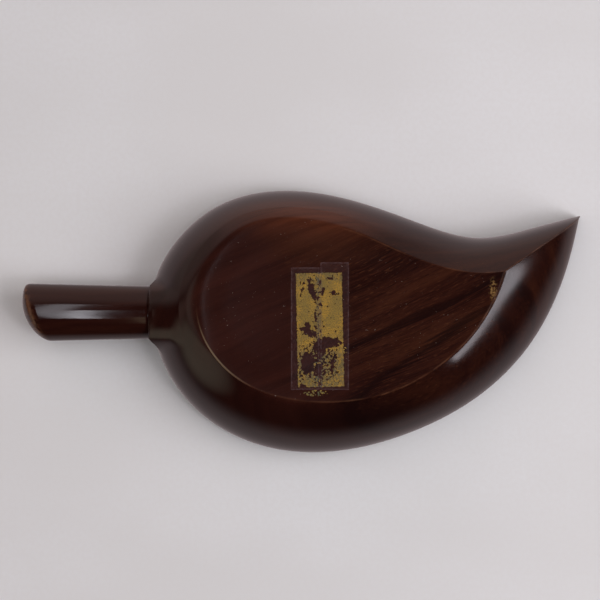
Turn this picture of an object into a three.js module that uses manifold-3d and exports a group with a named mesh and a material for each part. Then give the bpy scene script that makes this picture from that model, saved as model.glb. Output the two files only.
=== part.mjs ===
// Leaf-shaped dip pen dish, carved from hardwood, with a turned stem glued to it.
// Millimetres, +Z up. The dish stands on its flat foot at z = 0 and its hollow faces +Z.
// +X runs from the stem to the leaf's tip. The numbers below are in the carving's own drawing,
// which the last lines move so that the origin is under the middle of the object.
import * as THREE from 'three';
import { mergeVertices } from 'three/addons/utils/BufferGeometryUtils.js';
import Module from 'manifold-3d';

// ---------------------------------------------------------------- driving dimensions

const HEIGHT = 40;            // foot to rim

// The leaf at matched stations, from the tip round the -Y side to the stem and back to the
// tip: rim x, rim y, foot x, foot y, how crisp the foot's edge is (0 to 1), and the width of
// the rim's flat top, measured towards the foot. It is wide at the stem, for the dowel.
const STATIONS = [
  [122, -45.5, 84, -20.5, 1, 15],
  [101, -40, 72, -20, 1, 12.5],
  [76.5, -36, 56.5, -23, 1, 8.5],
  [50.5, -43, 39.5, -29.5, 0.9, 5.5],
  [24, -52, 21.5, -37.5, 0.5, 5],
  [-4.5, -56.5, 1.5, -42.5, 0.1, 5],
  [-33.5, -51, -20, -40.5, 0, 5.5],
  [-56, -32, -37, -26, 0, 7],
  [-65.2, -3.5, -43, -4, 0.2, 12.5],
  [-52.5, 31, -31, 19, 0.9, 7.5],
  [-22.5, 53, -8.5, 31, 0.5, 5.5],
  [13.5, 57.5, 16, 33, 0.8, 5],
  [48.5, 49, 38.5, 28.5, 1, 5.5],
  [79, 32.5, 57.5, 18, 1, 6],
  [102, 8.5, 71.5, 4.5, 1, 7],
  [115.5, -19.5, 80, -9.5, 1, 9.5],
  [122, -45.5, 84, -20.5, 1, 15],
];
const AROUND = 96;            // points round each ring of the carving
const LEAF_CENTRE = [15, -4]; // the rings under the foot and on the floor close here

const FOOT_BAND = 2;          // flat band that the dish stands on
const FOOT_SLOPE = 2.5;       // width of the slope from the band into the foot's hollow
const FOOT_STEPS = 4;         // rings over that slope
const FOOT_LEVEL = 12;        // the hollow is level for at least this far inside the slope
const FOOT_HOLLOW = 0.4;      // depth of the foot's shallow hollow

const WALL_STEPS = 9;         // rings up the outside of the wall
const WALL_SLOPE = 0.68;      // rise over run of the wall where it leaves a crisp foot edge
const WALL_START = 0.15;      // how far it keeps that slope, and as much again at a crisp edge
const TIP_START = 0.38;       // how much longer it keeps that slope at the tip, as a flat facet
const TIP_STATIONS = 1.3;     // how far that facet reaches round from the tip, in stations
const WALL_FULLNESS = 0.42;   // higher is straighter, lower is boxier
const WALL_STEEPENING = 1.04; // keeps the wall steepening all the way where it spreads wide

const RIM_ROUND = 1.2;        // rounding of the rim's edges
const ROUND_CUT = 1 - Math.SQRT1_2; // how far a rounding's middle is from each side, over its radius

const HOLLOW_STEPS = 7;       // rings down the inside of the wall
const HOLLOW_LEAN = 0.05;     // how little the hollow's wall leans in under the rim
const HOLLOW_BELLY = 0.45;    // lower makes the wall fuller where it turns into the floor
const HOLLOW_BEND = 0.55;     // height of that turn, over the whole height
const FLOOR_Z = 9;            // hollow's floor above the foot plane
const FLOOR_REACH = 0.2;      // how far the floor's edge is inside the foot, over the wall's spread

const STEM_Y = -3.4;          // the stem's axis runs along X at this y
const STEM_Z = 27.4;
const STEM_JOINT_X = -64.2;   // plane where the stem meets the leaf's neck
const STEM_RADIUS = 11.3;     // at the leaf
const STEM_END_RADIUS = 12.6; // at the free end
const STEM_END_X = -122;
const STEM_FLARE_POWER = 1.15; // the stem widens a little faster towards its end
const END_BALL_RADIUS = 19.5; // rounds the free end, off-centre so that the end is oblique
const END_BALL_CENTRE = [-99.7, -8.5, STEM_Z];

const NECK_FLARE = 3;         // how much the leaf's neck widens into the wall
const NECK_LENGTH = 7;

const DOWEL_RADIUS = 4;
const DOWEL_IN_STEM = 14;
const DOWEL_IN_LEAF = 7.5;
const DOWEL_CHAMFER = 0.6;

const LABEL_SIZE = [18.9, 46.8, 0.12];
const LABEL_CENTRE = [8.2, 3.5];
const LABEL_TILT = THREE.MathUtils.degToRad(-1.2);
const LABEL_TOP_Z = 0.34;

const TAPE_WIDTH = 11.8;
const TAPE_THICK = 0.08;
const TAPE_TOP_Z = 0.16;
const TAPE_SEAM_X = 8.2;      // the two strips lie side by side, edge to edge here
const TAPE_FAR_Y = 28.2;
const TAPE_LEFT_NEAR_Y = -22.3;
const TAPE_RIGHT_NEAR_Y = -24.4;

const GAP = 0.3;              // clearance between touching pieces
const ROUND_SIDES = 48;       // sides of each turned piece
const WIDE = 100;             // side of a block that is wider than any turned piece

// ---------------------------------------------------------------- shared tools

const manifold = await Module();
manifold.setup();

function toSolid(geometry) {
  const bare = geometry.clone();
  bare.deleteAttribute('normal');
  bare.deleteAttribute('uv');
  const welded = mergeVertices(bare, 1e-4);
  return new manifold.Manifold(new manifold.Mesh({
    numProp: 3,
    vertProperties: new Float32Array(welded.attributes.position.array),
    triVerts: new Uint32Array(welded.index.array),
  }));
}

function toGeometry(solid) {
  const mesh = solid.getMesh();
  const geometry = new THREE.BufferGeometry();
  geometry.setAttribute('position', new THREE.BufferAttribute(mesh.vertProperties, 3));
  geometry.setIndex(new THREE.BufferAttribute(mesh.triVerts, 1));
  geometry.computeVertexNormals();
  return geometry;
}

// A solid of revolution about the line y = STEM_Y, z = STEM_Z.
// The profile is a list of [x, radius] with falling x, from the axis back to the axis.
function turnedOnStemAxis(profile) {
  const points = profile.map(([x, radius]) => new THREE.Vector2(radius, -x));
  const geometry = new THREE.LatheGeometry(points, ROUND_SIDES);
  geometry.rotateZ(Math.PI / 2);
  geometry.translate(0, STEM_Y, STEM_Z);
  return geometry;
}

function smoothStep(from, to, value) {
  return THREE.MathUtils.smoothstep(value, from, to);
}

// ---------------------------------------------------------------- leaf dish

const rimCurve = new THREE.SplineCurve(STATIONS.map(([x, y]) => new THREE.Vector2(x, y)));
const footCurve = new THREE.SplineCurve(STATIONS.map(([, , x, y]) => new THREE.Vector2(x, y)));
const edgeCurve = new THREE.SplineCurve(
  STATIONS.map(([, , , , crisp, width]) => new THREE.Vector2(crisp, width)));
const centre = new THREE.Vector2(...LEAF_CENTRE);

// A point `inset` inside the foot's outline, towards the leaf's centre.
function insideFoot(along, inset, z) {
  const foot = footCurve.getPoint(along);
  const reach = foot.distanceTo(centre);
  const point = foot.lerp(centre, inset / reach);
  return [point.x, point.y, z];
}

// A point between the foot's outline (0) and the rim's (1).
function onWall(along, outward, z) {
  const point = footCurve.getPoint(along).lerp(rimCurve.getPoint(along), outward);
  return [point.x, point.y, z];
}

// How far the wall spreads from the foot's outline to the rim's.
function reachAt(along) {
  return rimCurve.getPoint(along).distanceTo(footCurve.getPoint(along));
}

// A point `inset` inside the rim's outline, towards the foot's outline.
function insideRim(along, inset, z) {
  return onWall(along, 1 - inset / reachAt(along), z);
}

function bezier(t, a, b, c, d) {
  const s = 1 - t;
  return s * s * s * a + 3 * s * s * t * b + 3 * s * t * t * c + t * t * t * d;
}

// Outside of the wall: level or sloping at the foot's edge, upright at the rim.
function outerWall(along, t) {
  const crisp = edgeCurve.getPoint(along).x;
  const edge = footCurve.getTangent(along);
  const outward = rimCurve.getPoint(along).sub(footCurve.getPoint(along));
  const squareReach = Math.abs(edge.cross(outward));   // measured square to the foot's edge
  const evenRise = WALL_SLOPE * squareReach / (HEIGHT - RIM_ROUND);
  const fromTip = Math.min(along, 1 - along) * (STATIONS.length - 1);
  const start = WALL_START * (1 + crisp) + TIP_START * Math.exp(-((fromTip / TIP_STATIONS) ** 2));
  const fullness = Math.max(WALL_FULLNESS, WALL_STEEPENING * evenRise);
  const out = bezier(t, 0, start, 1, 1);
  const up = bezier(t, 0, evenRise * start * crisp, fullness, 1);
  return onWall(along, out, up * (HEIGHT - RIM_ROUND));
}

// Inside of the wall: upright under the rim, level where it meets the floor.
function innerWall(along, t) {
  const reach = reachAt(along);
  const top = 1 - (edgeCurve.getPoint(along).y + RIM_ROUND) / reach;
  const out = bezier(t, top, top - HOLLOW_LEAN, top * HOLLOW_BELLY, -FLOOR_REACH);
  const up = bezier(t, HEIGHT - RIM_ROUND, HEIGHT * HOLLOW_BEND, FLOOR_Z, FLOOR_Z);
  return out > 0 ? onWall(along, out, up) : insideFoot(along, -out * reach, up);
}

function leafRings() {
  const rings = [];
  const addRing = (pointAt) => rings.push(pointAt);
  // under the foot, from the middle outwards
  addRing((along) => insideFoot(along, FOOT_BAND + FOOT_SLOPE + FOOT_LEVEL, FOOT_HOLLOW));
  for (let step = FOOT_STEPS; step >= 0; step -= 1) {
    const share = step / FOOT_STEPS;
    addRing((along) => insideFoot(
      along, FOOT_BAND + FOOT_SLOPE * share, FOOT_HOLLOW * smoothStep(0, 1, share)));
  }
  for (let step = 0; step <= WALL_STEPS; step += 1) {
    addRing((along) => outerWall(along, step / WALL_STEPS));
  }
  // rim, outer rounding to inner rounding
  const cut = RIM_ROUND * ROUND_CUT;
  addRing((along) => insideRim(along, cut, HEIGHT - cut));
  addRing((along) => insideRim(along, RIM_ROUND, HEIGHT));
  addRing((along) => insideRim(along, edgeCurve.getPoint(along).y, HEIGHT));
  addRing((along) => insideRim(along, edgeCurve.getPoint(along).y + RIM_ROUND - cut, HEIGHT - cut));
  for (let step = 0; step <= HOLLOW_STEPS; step += 1) {
    addRing((along) => innerWall(along, step / HOLLOW_STEPS));
  }
  return rings;
}

function carvedLeaf() {
  const rings = leafRings();
  const positions = [];
  for (const pointAt of rings) {
    for (let i = 0; i < AROUND; i += 1) {
      positions.push(...pointAt(i / AROUND));
    }
  }
  const underCentre = positions.length / 3;
  positions.push(...LEAF_CENTRE, FOOT_HOLLOW);
  const floorCentre = underCentre + 1;
  positions.push(...LEAF_CENTRE, FLOOR_Z);

  const triangles = [];
  for (let i = 0; i < AROUND; i += 1) {
    const next = (i + 1) % AROUND;
    triangles.push(underCentre, i, next);
    for (let ring = 0; ring < rings.length - 1; ring += 1) {
      const here = ring * AROUND;
      const there = here + AROUND;
      triangles.push(here + i, there + i, there + next, here + i, there + next, here + next);
    }
    const last = (rings.length - 1) * AROUND;
    triangles.push(floorCentre, last + next, last + i);
  }
  const geometry = new THREE.BufferGeometry();
  geometry.setAttribute('position', new THREE.Float32BufferAttribute(positions, 3));
  geometry.setIndex(triangles);
  return geometry;
}

// The short round neck that carries the stem, with its end face at the joint.
function neck() {
  const profile = [[STEM_JOINT_X + NECK_LENGTH, 0]];
  const steps = 6;
  for (let step = steps; step >= 0; step -= 1) {
    const share = step / steps;
    profile.push([STEM_JOINT_X + NECK_LENGTH * share, STEM_RADIUS + NECK_FLARE * share * share]);
  }
  profile.push([STEM_JOINT_X, 0]);
  const belowRim = new THREE.BoxGeometry(4 * NECK_LENGTH, WIDE, HEIGHT - GAP);
  belowRim.translate(STEM_JOINT_X, STEM_Y, (HEIGHT - GAP) / 2);
  return toSolid(turnedOnStemAxis(profile)).intersect(toSolid(belowRim));
}

// The flat-bottomed seat that the stem's end stands in where the rim overhangs the joint.
function stemSeat() {
  const radius = STEM_RADIUS + GAP;
  const outside = STEM_JOINT_X - NECK_LENGTH;
  const corners = [[STEM_JOINT_X, 0], [STEM_JOINT_X, radius], [outside, radius], [outside, 0]];
  return toSolid(turnedOnStemAxis(corners));
}

function dowelHole() {
  const radius = DOWEL_RADIUS + GAP;
  const leafEnd = STEM_JOINT_X + DOWEL_IN_LEAF + GAP;
  const stemEnd = STEM_JOINT_X - GAP - DOWEL_IN_STEM - GAP;
  return toSolid(turnedOnStemAxis([[leafEnd, 0], [leafEnd, radius], [stemEnd, radius], [stemEnd, 0]]));
}

function leafTray() {
  return toGeometry(toSolid(carvedLeaf()).add(neck()).subtract(stemSeat()).subtract(dowelHole()));
}

// ---------------------------------------------------------------- stem and dowel

function stem() {
  const start = STEM_JOINT_X - GAP;
  const profile = [[start, 0]];
  const steps = 12;
  for (let step = 0; step <= steps; step += 1) {
    const share = step / steps;
    const radius = THREE.MathUtils.lerp(STEM_RADIUS, STEM_END_RADIUS, share ** STEM_FLARE_POWER);
    profile.push([THREE.MathUtils.lerp(start, STEM_END_X, share), radius]);
  }
  profile.push([STEM_END_X, 0]);
  // the ball shapes only the free end, so the shaft before its middle is kept whole
  const ball = new THREE.SphereGeometry(END_BALL_RADIUS, ROUND_SIDES, ROUND_SIDES / 2);
  ball.translate(...END_BALL_CENTRE);
  const shaftRoom = new THREE.BoxGeometry(2 * (start - END_BALL_CENTRE[0]), WIDE, WIDE);
  shaftRoom.translate(start, STEM_Y, STEM_Z);
  const kept = toSolid(ball).add(toSolid(shaftRoom));
  return toGeometry(toSolid(turnedOnStemAxis(profile)).intersect(kept).subtract(dowelHole()));
}

function stemDowel() {
  const leafEnd = STEM_JOINT_X + DOWEL_IN_LEAF;
  const stemEnd = STEM_JOINT_X - GAP - DOWEL_IN_STEM;
  return turnedOnStemAxis([
    [leafEnd, 0],
    [leafEnd, DOWEL_RADIUS - DOWEL_CHAMFER],
    [leafEnd - DOWEL_CHAMFER, DOWEL_RADIUS],
    [stemEnd + DOWEL_CHAMFER, DOWEL_RADIUS],
    [stemEnd, DOWEL_RADIUS - DOWEL_CHAMFER],
    [stemEnd, 0],
  ]);
}

// ---------------------------------------------------------------- label and tape under the foot

function tapeStrip(lowX, nearY) {
  const geometry = new THREE.BoxGeometry(TAPE_WIDTH, TAPE_FAR_Y - nearY, TAPE_THICK);
  geometry.translate(lowX + TAPE_WIDTH / 2, (TAPE_FAR_Y + nearY) / 2, TAPE_TOP_Z - TAPE_THICK / 2);
  return geometry;
}

// ---------------------------------------------------------------- materials and assembly

const rosewood = new THREE.MeshStandardMaterial({ color: 0x3a1712, roughness: 0.28, metalness: 0 });
const stemWood = new THREE.MeshStandardMaterial({ color: 0x35120e, roughness: 0.22, metalness: 0 });
const beech = new THREE.MeshStandardMaterial({ color: 0xb98a5c, roughness: 0.7, metalness: 0 });
const gildedPaper = new THREE.MeshStandardMaterial({ color: 0xb8923f, roughness: 0.55, metalness: 0.2 });
const clearTape = new THREE.MeshStandardMaterial({ color: 0x6b4a48, roughness: 0.3, metalness: 0 });

function named(name, geometry, material) {
  const mesh = new THREE.Mesh(geometry, material);
  mesh.name = name;
  return mesh;
}

const penDish = new THREE.Group();

penDish.add(named('leaf_tray', leafTray(), rosewood));
penDish.add(named('stem', stem(), stemWood));
penDish.add(named('stem_dowel', stemDowel(), beech));

const label = named('label', new THREE.BoxGeometry(...LABEL_SIZE), gildedPaper);
label.position.set(...LABEL_CENTRE, LABEL_TOP_Z - LABEL_SIZE[2] / 2);
label.rotation.z = LABEL_TILT;
penDish.add(label);

const seamGap = GAP / 2;
const leftStrip = tapeStrip(TAPE_SEAM_X - seamGap - TAPE_WIDTH, TAPE_LEFT_NEAR_Y);
const rightStrip = tapeStrip(TAPE_SEAM_X + seamGap, TAPE_RIGHT_NEAR_Y);
penDish.add(named('tape_strip_left', leftStrip, clearTape));
penDish.add(named('tape_strip_right', rightStrip, clearTape));

// The frame's origin is under the middle of the whole object, on the plane that it stands on.
const outerBox = new THREE.Box3().setFromObject(penDish);
const middle = outerBox.getCenter(new THREE.Vector3());
penDish.position.set(-middle.x, -middle.y, 0);

export default penDish;
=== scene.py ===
"""Looks of the leaf-shaped dip pen dish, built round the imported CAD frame.

The frame stands the dish on its foot, with its hollow up. The photograph's view is of the
underside, from straight below the foot, so the scene has two plain pale sheets: one under the
foot, for views from above, and one on the rim, for the view from below. Each sheet shows only
on the side that faces the dish, neither blocks light, and both fade into a plain backdrop.

Lengths are in millimetres of the carving's drawing, unless a name or comment says otherwise.
"""
import math

import bmesh
import bpy
import numpy as np
from mathutils import Matrix, Vector, noise
from mathutils.bvhtree import BVHTree


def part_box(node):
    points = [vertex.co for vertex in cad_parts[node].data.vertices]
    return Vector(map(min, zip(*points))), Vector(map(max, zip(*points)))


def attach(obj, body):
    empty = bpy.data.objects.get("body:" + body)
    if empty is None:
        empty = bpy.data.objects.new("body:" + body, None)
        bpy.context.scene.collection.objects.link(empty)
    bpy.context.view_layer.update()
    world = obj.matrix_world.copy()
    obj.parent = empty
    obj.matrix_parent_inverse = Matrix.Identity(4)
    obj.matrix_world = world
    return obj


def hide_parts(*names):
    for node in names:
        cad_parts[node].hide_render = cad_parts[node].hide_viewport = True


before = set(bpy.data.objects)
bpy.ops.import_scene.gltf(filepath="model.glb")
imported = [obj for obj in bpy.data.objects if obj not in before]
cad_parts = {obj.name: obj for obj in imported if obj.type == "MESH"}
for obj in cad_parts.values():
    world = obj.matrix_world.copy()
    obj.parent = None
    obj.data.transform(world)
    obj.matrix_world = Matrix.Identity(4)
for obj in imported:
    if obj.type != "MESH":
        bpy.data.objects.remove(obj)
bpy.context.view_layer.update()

MM = 0.001

# ------------------------------------------------------------------ places from the frame

leaf_low, leaf_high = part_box("leaf_tray")
stem_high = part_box("stem")[1]
dowel_low, dowel_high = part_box("stem_dowel")
label_low, label_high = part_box("label")

HEIGHT = (leaf_high[2] - leaf_low[2]) / MM

# The carving's drawing, in millimetres, and where its origin is in the frame.
TIP_X = 122
STEM_Y = -3.4
DRAWING_X = leaf_high[0] / MM - TIP_X
DRAWING_Y = (dowel_low[1] + dowel_high[1]) / 2 / MM - STEM_Y
STEM_Z = (dowel_low[2] + dowel_high[2]) / 2 / MM

# Rim x, rim y, foot x, foot y, how crisp the foot's edge is, and the rim's width, from the tip
# round the -Y side to the stem and back to the tip.
STATIONS = np.array([
    [122, -45.5, 84, -20.5, 1, 15],
    [101, -40, 72, -20, 1, 12.5],
    [76.5, -36, 56.5, -23, 1, 8.5],
    [50.5, -43, 39.5, -29.5, 0.9, 5.5],
    [24, -52, 21.5, -37.5, 0.5, 5],
    [-4.5, -56.5, 1.5, -42.5, 0.1, 5],
    [-33.5, -51, -20, -40.5, 0, 5.5],
    [-56, -32, -37, -26, 0, 7],
    [-65.2, -3.5, -43, -4, 0.2, 12.5],
    [-52.5, 31, -31, 19, 0.9, 7.5],
    [-22.5, 53, -8.5, 31, 0.5, 5.5],
    [13.5, 57.5, 16, 33, 0.8, 5],
    [48.5, 49, 38.5, 28.5, 1, 5.5],
    [79, 32.5, 57.5, 18, 1, 6],
    [102, 8.5, 71.5, 4.5, 1, 7],
    [115.5, -19.5, 80, -9.5, 1, 9.5],
    [122, -45.5, 84, -20.5, 1, 15],
])
LEAF_CENTRE = np.array([15.0, -4.0])
AROUND = 640                    # points round each ring of the carving
FAN_SHARES = (0.06, 0.2, 0.4, 0.6, 0.8)   # rings between a level face's middle and its edge

FOOT_SLOPE = 14.0               # width of the slope from the foot's edge into its hollow
FOOT_LIP = 0.3                  # the last ring of that slope is this far inside the edge
FOOT_RINGS = 40
FOOT_HOLLOW = 0.4
WALL_RINGS = 64
WALL_CROWDING = 1.15            # over 1 sets the wall's rings closer together near the foot
WALL_SLOPE = 0.68               # rise over run of the wall where it leaves a crisp foot edge
WALL_START = 0.15               # how far it keeps that slope, and as much again at a crisp edge
TIP_START = 0.38                # how much longer it keeps that slope at the tip
TIP_STATIONS = 1.3              # how far that facet reaches round from the tip, in stations
WALL_FULLNESS = 0.42
WALL_STEEPENING = 1.04
RIM_ROUND = 1.2
RIM_RINGS = 8
RIM_SHARES = (0.25, 0.5, 0.75)  # rings across the flat of the rim
FLOOR_Z = 9.0
FLOOR_REACH = 0.2               # how far the floor's edge is inside the foot, over the wall's spread
HOLLOW_RINGS = 48
HOLLOW_LEAN = 0.05              # the inner wall's curve: shares of the wall's spread
HOLLOW_BELLY = 0.45
HOLLOW_BEND = 0.55              # and the share of the height where it turns into the floor

CRISP_RINGS = (2, 3)            # rings before and after the crease that a crisp edge rounds
CRISP_PASSES = 3
WORN_RINGS = (22, 24)           # and that a worn edge rounds
WORN_PASSES = 260
KEEN_FROM, KEEN_TO = 0.15, 0.85  # the edge goes from worn to crisp between these
EDGE_RINGS = 1.1                # half width of the pale line on the crease, in rings
KEEL_POINTS = 1.6               # and on the ridge at the tip, in points round the ring
FOOT_TILTED, FOOT_LEVEL = 0.84, 0.97      # downward part of the normal on the wall and on the foot

JOINT_GAP = 0.3                 # between the stem and the leaf in the CAD
JOINT_X = stem_high[0] / MM - DRAWING_X + JOINT_GAP
STEM_RADIUS = 11.3
STEM_END_RADIUS = 12.6
STEM_END_X = -122.0
STEM_FLARE_POWER = 1.15
STEM_SIDES = 160
SHAFT_RINGS = 90
SHAFT_CROWDING = 0.85           # under 1 sets the shaft's rings closer together near its end
END_RINGS = 34
END_STEPS = 12                  # steps that bring the end's edge onto the ball
END_ROUNDING = (5, 14)          # rings on each side of that edge, and passes, that round it
END_EDGE_RINGS = 3.0            # half width of the worn line on that edge, in rings
JOINT_SHARES = (0.2, 0.6, 0.95, 0.995)    # rings over the stem's face at the joint
JOINT_SEAM = 0.03               # what is left of the gap at the visual stem's face
JOINT_CHAMFER = 0.1
END_FIRST_GUESS = 0.95          # where the search for the end's edge starts, over the end's x
END_MIDDLE = 0.03               # radius of the end's last ring, over the stem's
BALL_RADIUS = 19.5
BALL_CENTRE = np.array([-99.7, -8.5])
NECK_FILLET = 5.5
NECK_POWER = 2.5                # higher makes the fillet hug the joint
RAMP_SLOPE = 0.78
RAMP_HALF_WIDTH = 8.4
RAMP_Y = STEM_Y + 1.2
RAMP_LENGTH = 17.0
RAMP_FULL = 0.6                 # the ramp is whole over this share of its length
RAMP_BLEND = 2.4

LABEL_HALF = (9.45, 23.4)
LABEL_CENTRE = (
    (label_low[0] + label_high[0]) / 2 / MM - DRAWING_X,
    (label_low[1] + label_high[1]) / 2 / MM - DRAWING_Y,
)
LABEL_TILT = math.radians(-1.2)
LABEL_LOW, LABEL_HIGH = (-13, -25), (13, 28)   # the field it is traced in, from its centre
LABEL_STEP = 0.22               # side of the squares that it is traced on
LABEL_LIFT = 0.01               # how far it is off the foot
LABEL_THICK = 0.05
TAPE_NODES = ("tape_strip_left", "tape_strip_right")
TAPE_STEP = 0.3
TAPE_LIFT = 0.065
TAPE_THICK = 0.03
TAPE_INSET = 0.05               # how far the strip is inside its CAD outline
TAPE_EDGE = 0.7                 # width of the pale line along its edge
TOOTH_DEPTH = 0.25              # of the teeth that its ends are cut with
TOOTH_WIDTH = 1.2
TRACE_MARGIN = 0.02             # nearest that a traced corner comes to a square's, over its side
PROBE_Z = -20                   # height that the foot is felt from


def place(x, y, z):
    """A point of the drawing, in the frame's metres."""
    return Vector(((x + DRAWING_X) * MM, (y + DRAWING_Y) * MM, z * MM))


# ------------------------------------------------------------------ mesh tools

def natural_spline(knots, places):
    """Values of the natural cubic spline through the knots, at places counted in knots."""
    count = len(knots)
    system = np.eye(count)
    bend = np.zeros_like(knots, dtype=float)
    for i in range(1, count - 1):
        system[i, i - 1:i + 2] = 1, 4, 1
        bend[i] = 6 * (knots[i - 1] - 2 * knots[i] + knots[i + 1])
    curve = np.linalg.solve(system, bend)
    left = np.clip(places.astype(int), 0, count - 2)
    share = (places - left)[:, None]
    rest = 1 - share
    straight = rest * knots[left] + share * knots[left + 1]
    return straight + (rest**3 - rest) / 6 * curve[left] + (share**3 - share) / 6 * curve[left + 1]


def bezier(t, a, b, c, d):
    s = 1 - t
    return s**3 * a + 3 * s * s * t * b + 3 * s * t * t * c + t**3 * d


def smooth_step(low, high, value):
    """0 at low, 1 at high, and smooth between; low may be above high."""
    t = np.clip((value - low) / (high - low), 0, 1)
    return t * t * (3 - 2 * t)


def soft_min(a, b, blend):
    """The lower of two heights, with the corner between them rounded."""
    share = np.clip(0.5 + (b - a) / (2 * blend), 0, 1)
    return b + (a - b) * share - blend * share * (1 - share)


def mesh_from(name, points, faces):
    """A new object from points in the drawing's millimetres."""
    moved = (np.asarray(points) + [DRAWING_X, DRAWING_Y, 0]) * MM
    mesh = bpy.data.meshes.new(name)
    mesh.from_pydata(moved.tolist(), [], faces)
    mesh.validate()
    mesh.shade_smooth()
    obj = bpy.data.objects.new(name, mesh)
    bpy.context.scene.collection.objects.link(obj)
    return obj


def skin_rings(rings):
    """Faces over closed rings of equal length, with a fan at each end to one middle point."""
    count = len(rings)
    around = len(rings[0])
    points = np.concatenate([np.concatenate(rings), [rings[0].mean(0), rings[-1].mean(0)]])
    first, last = count * around, count * around + 1
    faces = []
    for i in range(around):
        after = (i + 1) % around
        faces.append((first, i, after))
        for ring in range(count - 1):
            here, there = ring * around, (ring + 1) * around
            faces.append((here + i, there + i, there + after, here + after))
        faces.append((last, (count - 1) * around + after, (count - 1) * around + i))
    return points, faces


def soften(rings, low, high, passes):
    """Rounds the crease in the middle of the rings numbered from low up to high."""
    for _ in range(passes):
        rings[low:high] = (rings[low - 1:high - 1] + 2 * rings[low:high] + rings[low + 1:high + 1]) / 4


def add_attribute(obj, name, values):
    layer = obj.data.attributes.new(name, "FLOAT", "POINT")
    layer.data.foreach_set("value", np.asarray(values, dtype=np.float32))


# ------------------------------------------------------------------ carved leaf

class Outline:
    """The carving's outlines, sampled at AROUND places that each ring has a point at."""

    def __init__(self):
        self.along = np.arange(AROUND) / AROUND * (len(STATIONS) - 1)
        at = natural_spline(STATIONS, self.along)
        self.rim, self.foot = at[:, 0:2], at[:, 2:4]
        self.crisp = np.clip(at[:, 4:5], 0, 1)
        self.width = at[:, 5:6]
        self.outward = self.rim - self.foot
        self.reach = np.linalg.norm(self.outward, axis=1, keepdims=True)
        self.inward = LEAF_CENTRE - self.foot
        self.inward_reach = np.linalg.norm(self.inward, axis=1, keepdims=True)
        self.column = np.ones((AROUND, 1))

    def inside_foot(self, inset, z):
        """A ring inside the foot's outline, towards the leaf's centre."""
        return np.hstack([self.foot + self.inward * inset / self.inward_reach, z * self.column])

    def on_wall(self, outward, z):
        """A ring between the foot's outline (0) and the rim's (1)."""
        return np.hstack([self.foot + self.outward * outward, z * self.column])

    def inside_rim(self, inset, z):
        """A ring inside the rim's outline, towards the foot's."""
        return self.on_wall(1 - inset / self.reach, z)

    def level_rings(self, edge_inset, z, shares):
        """Rings over a level face, from its edge (share 1) to the leaf's centre (share 0)."""
        return [
            self.inside_foot(edge_inset + (self.inward_reach - edge_inset) * (1 - share), z)
            for share in shares
        ]


def foot_rings(outline):
    """The foot, level in its hollow and sloping out of it to the edge."""
    rings = outline.level_rings(FOOT_SLOPE, FOOT_HOLLOW, FAN_SHARES)
    for inset in np.linspace(FOOT_SLOPE, FOOT_LIP, FOOT_RINGS):
        rings.append(outline.inside_foot(inset, FOOT_HOLLOW * smooth_step(0, FOOT_SLOPE, inset)))
    return rings


def square_reach(outline):
    """How far the wall spreads from the foot's outline to the rim's, square to the foot's edge."""
    step = 0.01
    ahead = natural_spline(STATIONS, outline.along + step)[:, 2:4] - outline.foot
    behind = outline.foot - natural_spline(STATIONS, np.maximum(outline.along - step, 0))[:, 2:4]
    edge = ahead + behind
    edge /= np.linalg.norm(edge, axis=1, keepdims=True)
    return np.abs(edge[:, 0:1] * outline.outward[:, 1:2] - edge[:, 1:2] * outline.outward[:, 0:1])


def wall_rings(outline):
    """The outside of the wall: level or sloping at the foot's edge, upright at the rim."""
    even_rise = WALL_SLOPE * square_reach(outline) / (HEIGHT - RIM_ROUND)
    from_tip = np.minimum(outline.along, len(STATIONS) - 1 - outline.along)[:, None]
    start = WALL_START * (1 + outline.crisp) + TIP_START * np.exp(-(from_tip / TIP_STATIONS) ** 2)
    fullness = np.maximum(WALL_FULLNESS, WALL_STEEPENING * even_rise)
    rings = []
    for t in np.linspace(0, 1, WALL_RINGS) ** WALL_CROWDING:
        out = bezier(t, 0, start, 1, 1)
        up = bezier(t, 0, even_rise * start * outline.crisp, fullness, 1)
        rings.append(outline.on_wall(out, up * (HEIGHT - RIM_ROUND)))
    return rings


def rim_rings(outline):
    """The rim, from its outer rounding over the flat to its inner rounding."""
    rings = []
    turns = np.linspace(0, math.pi / 2, RIM_RINGS)
    for turn in turns[1:]:
        inset = RIM_ROUND * (1 - math.cos(turn))
        rings.append(outline.inside_rim(inset, HEIGHT - RIM_ROUND * (1 - math.sin(turn))))
    for share in RIM_SHARES:
        rings.append(outline.inside_rim(RIM_ROUND + (outline.width - RIM_ROUND) * share, HEIGHT))
    for turn in turns[:-1]:
        inset = outline.width + RIM_ROUND * math.sin(turn)
        rings.append(outline.inside_rim(inset, HEIGHT - RIM_ROUND * (1 - math.cos(turn))))
    return rings


def hollow_rings(outline):
    """The inside of the wall, upright under the rim and level where it meets the floor."""
    top = 1 - (outline.width + RIM_ROUND) / outline.reach
    rings = []
    for t in np.linspace(0, 1, HOLLOW_RINGS):
        out = bezier(t, top, top - HOLLOW_LEAN, top * HOLLOW_BELLY, -FLOOR_REACH)
        up = bezier(t, HEIGHT - RIM_ROUND, HEIGHT * HOLLOW_BEND, FLOOR_Z, FLOOR_Z)
        wall = outline.on_wall(np.maximum(out, 0), up)
        floor = outline.inside_foot(np.maximum(-out * outline.reach, 0), up)
        rings.append(np.where(out > 0, wall, floor))
    return rings + outline.level_rings(FLOOR_REACH * outline.reach, FLOOR_Z, reversed(FAN_SHARES))


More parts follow.
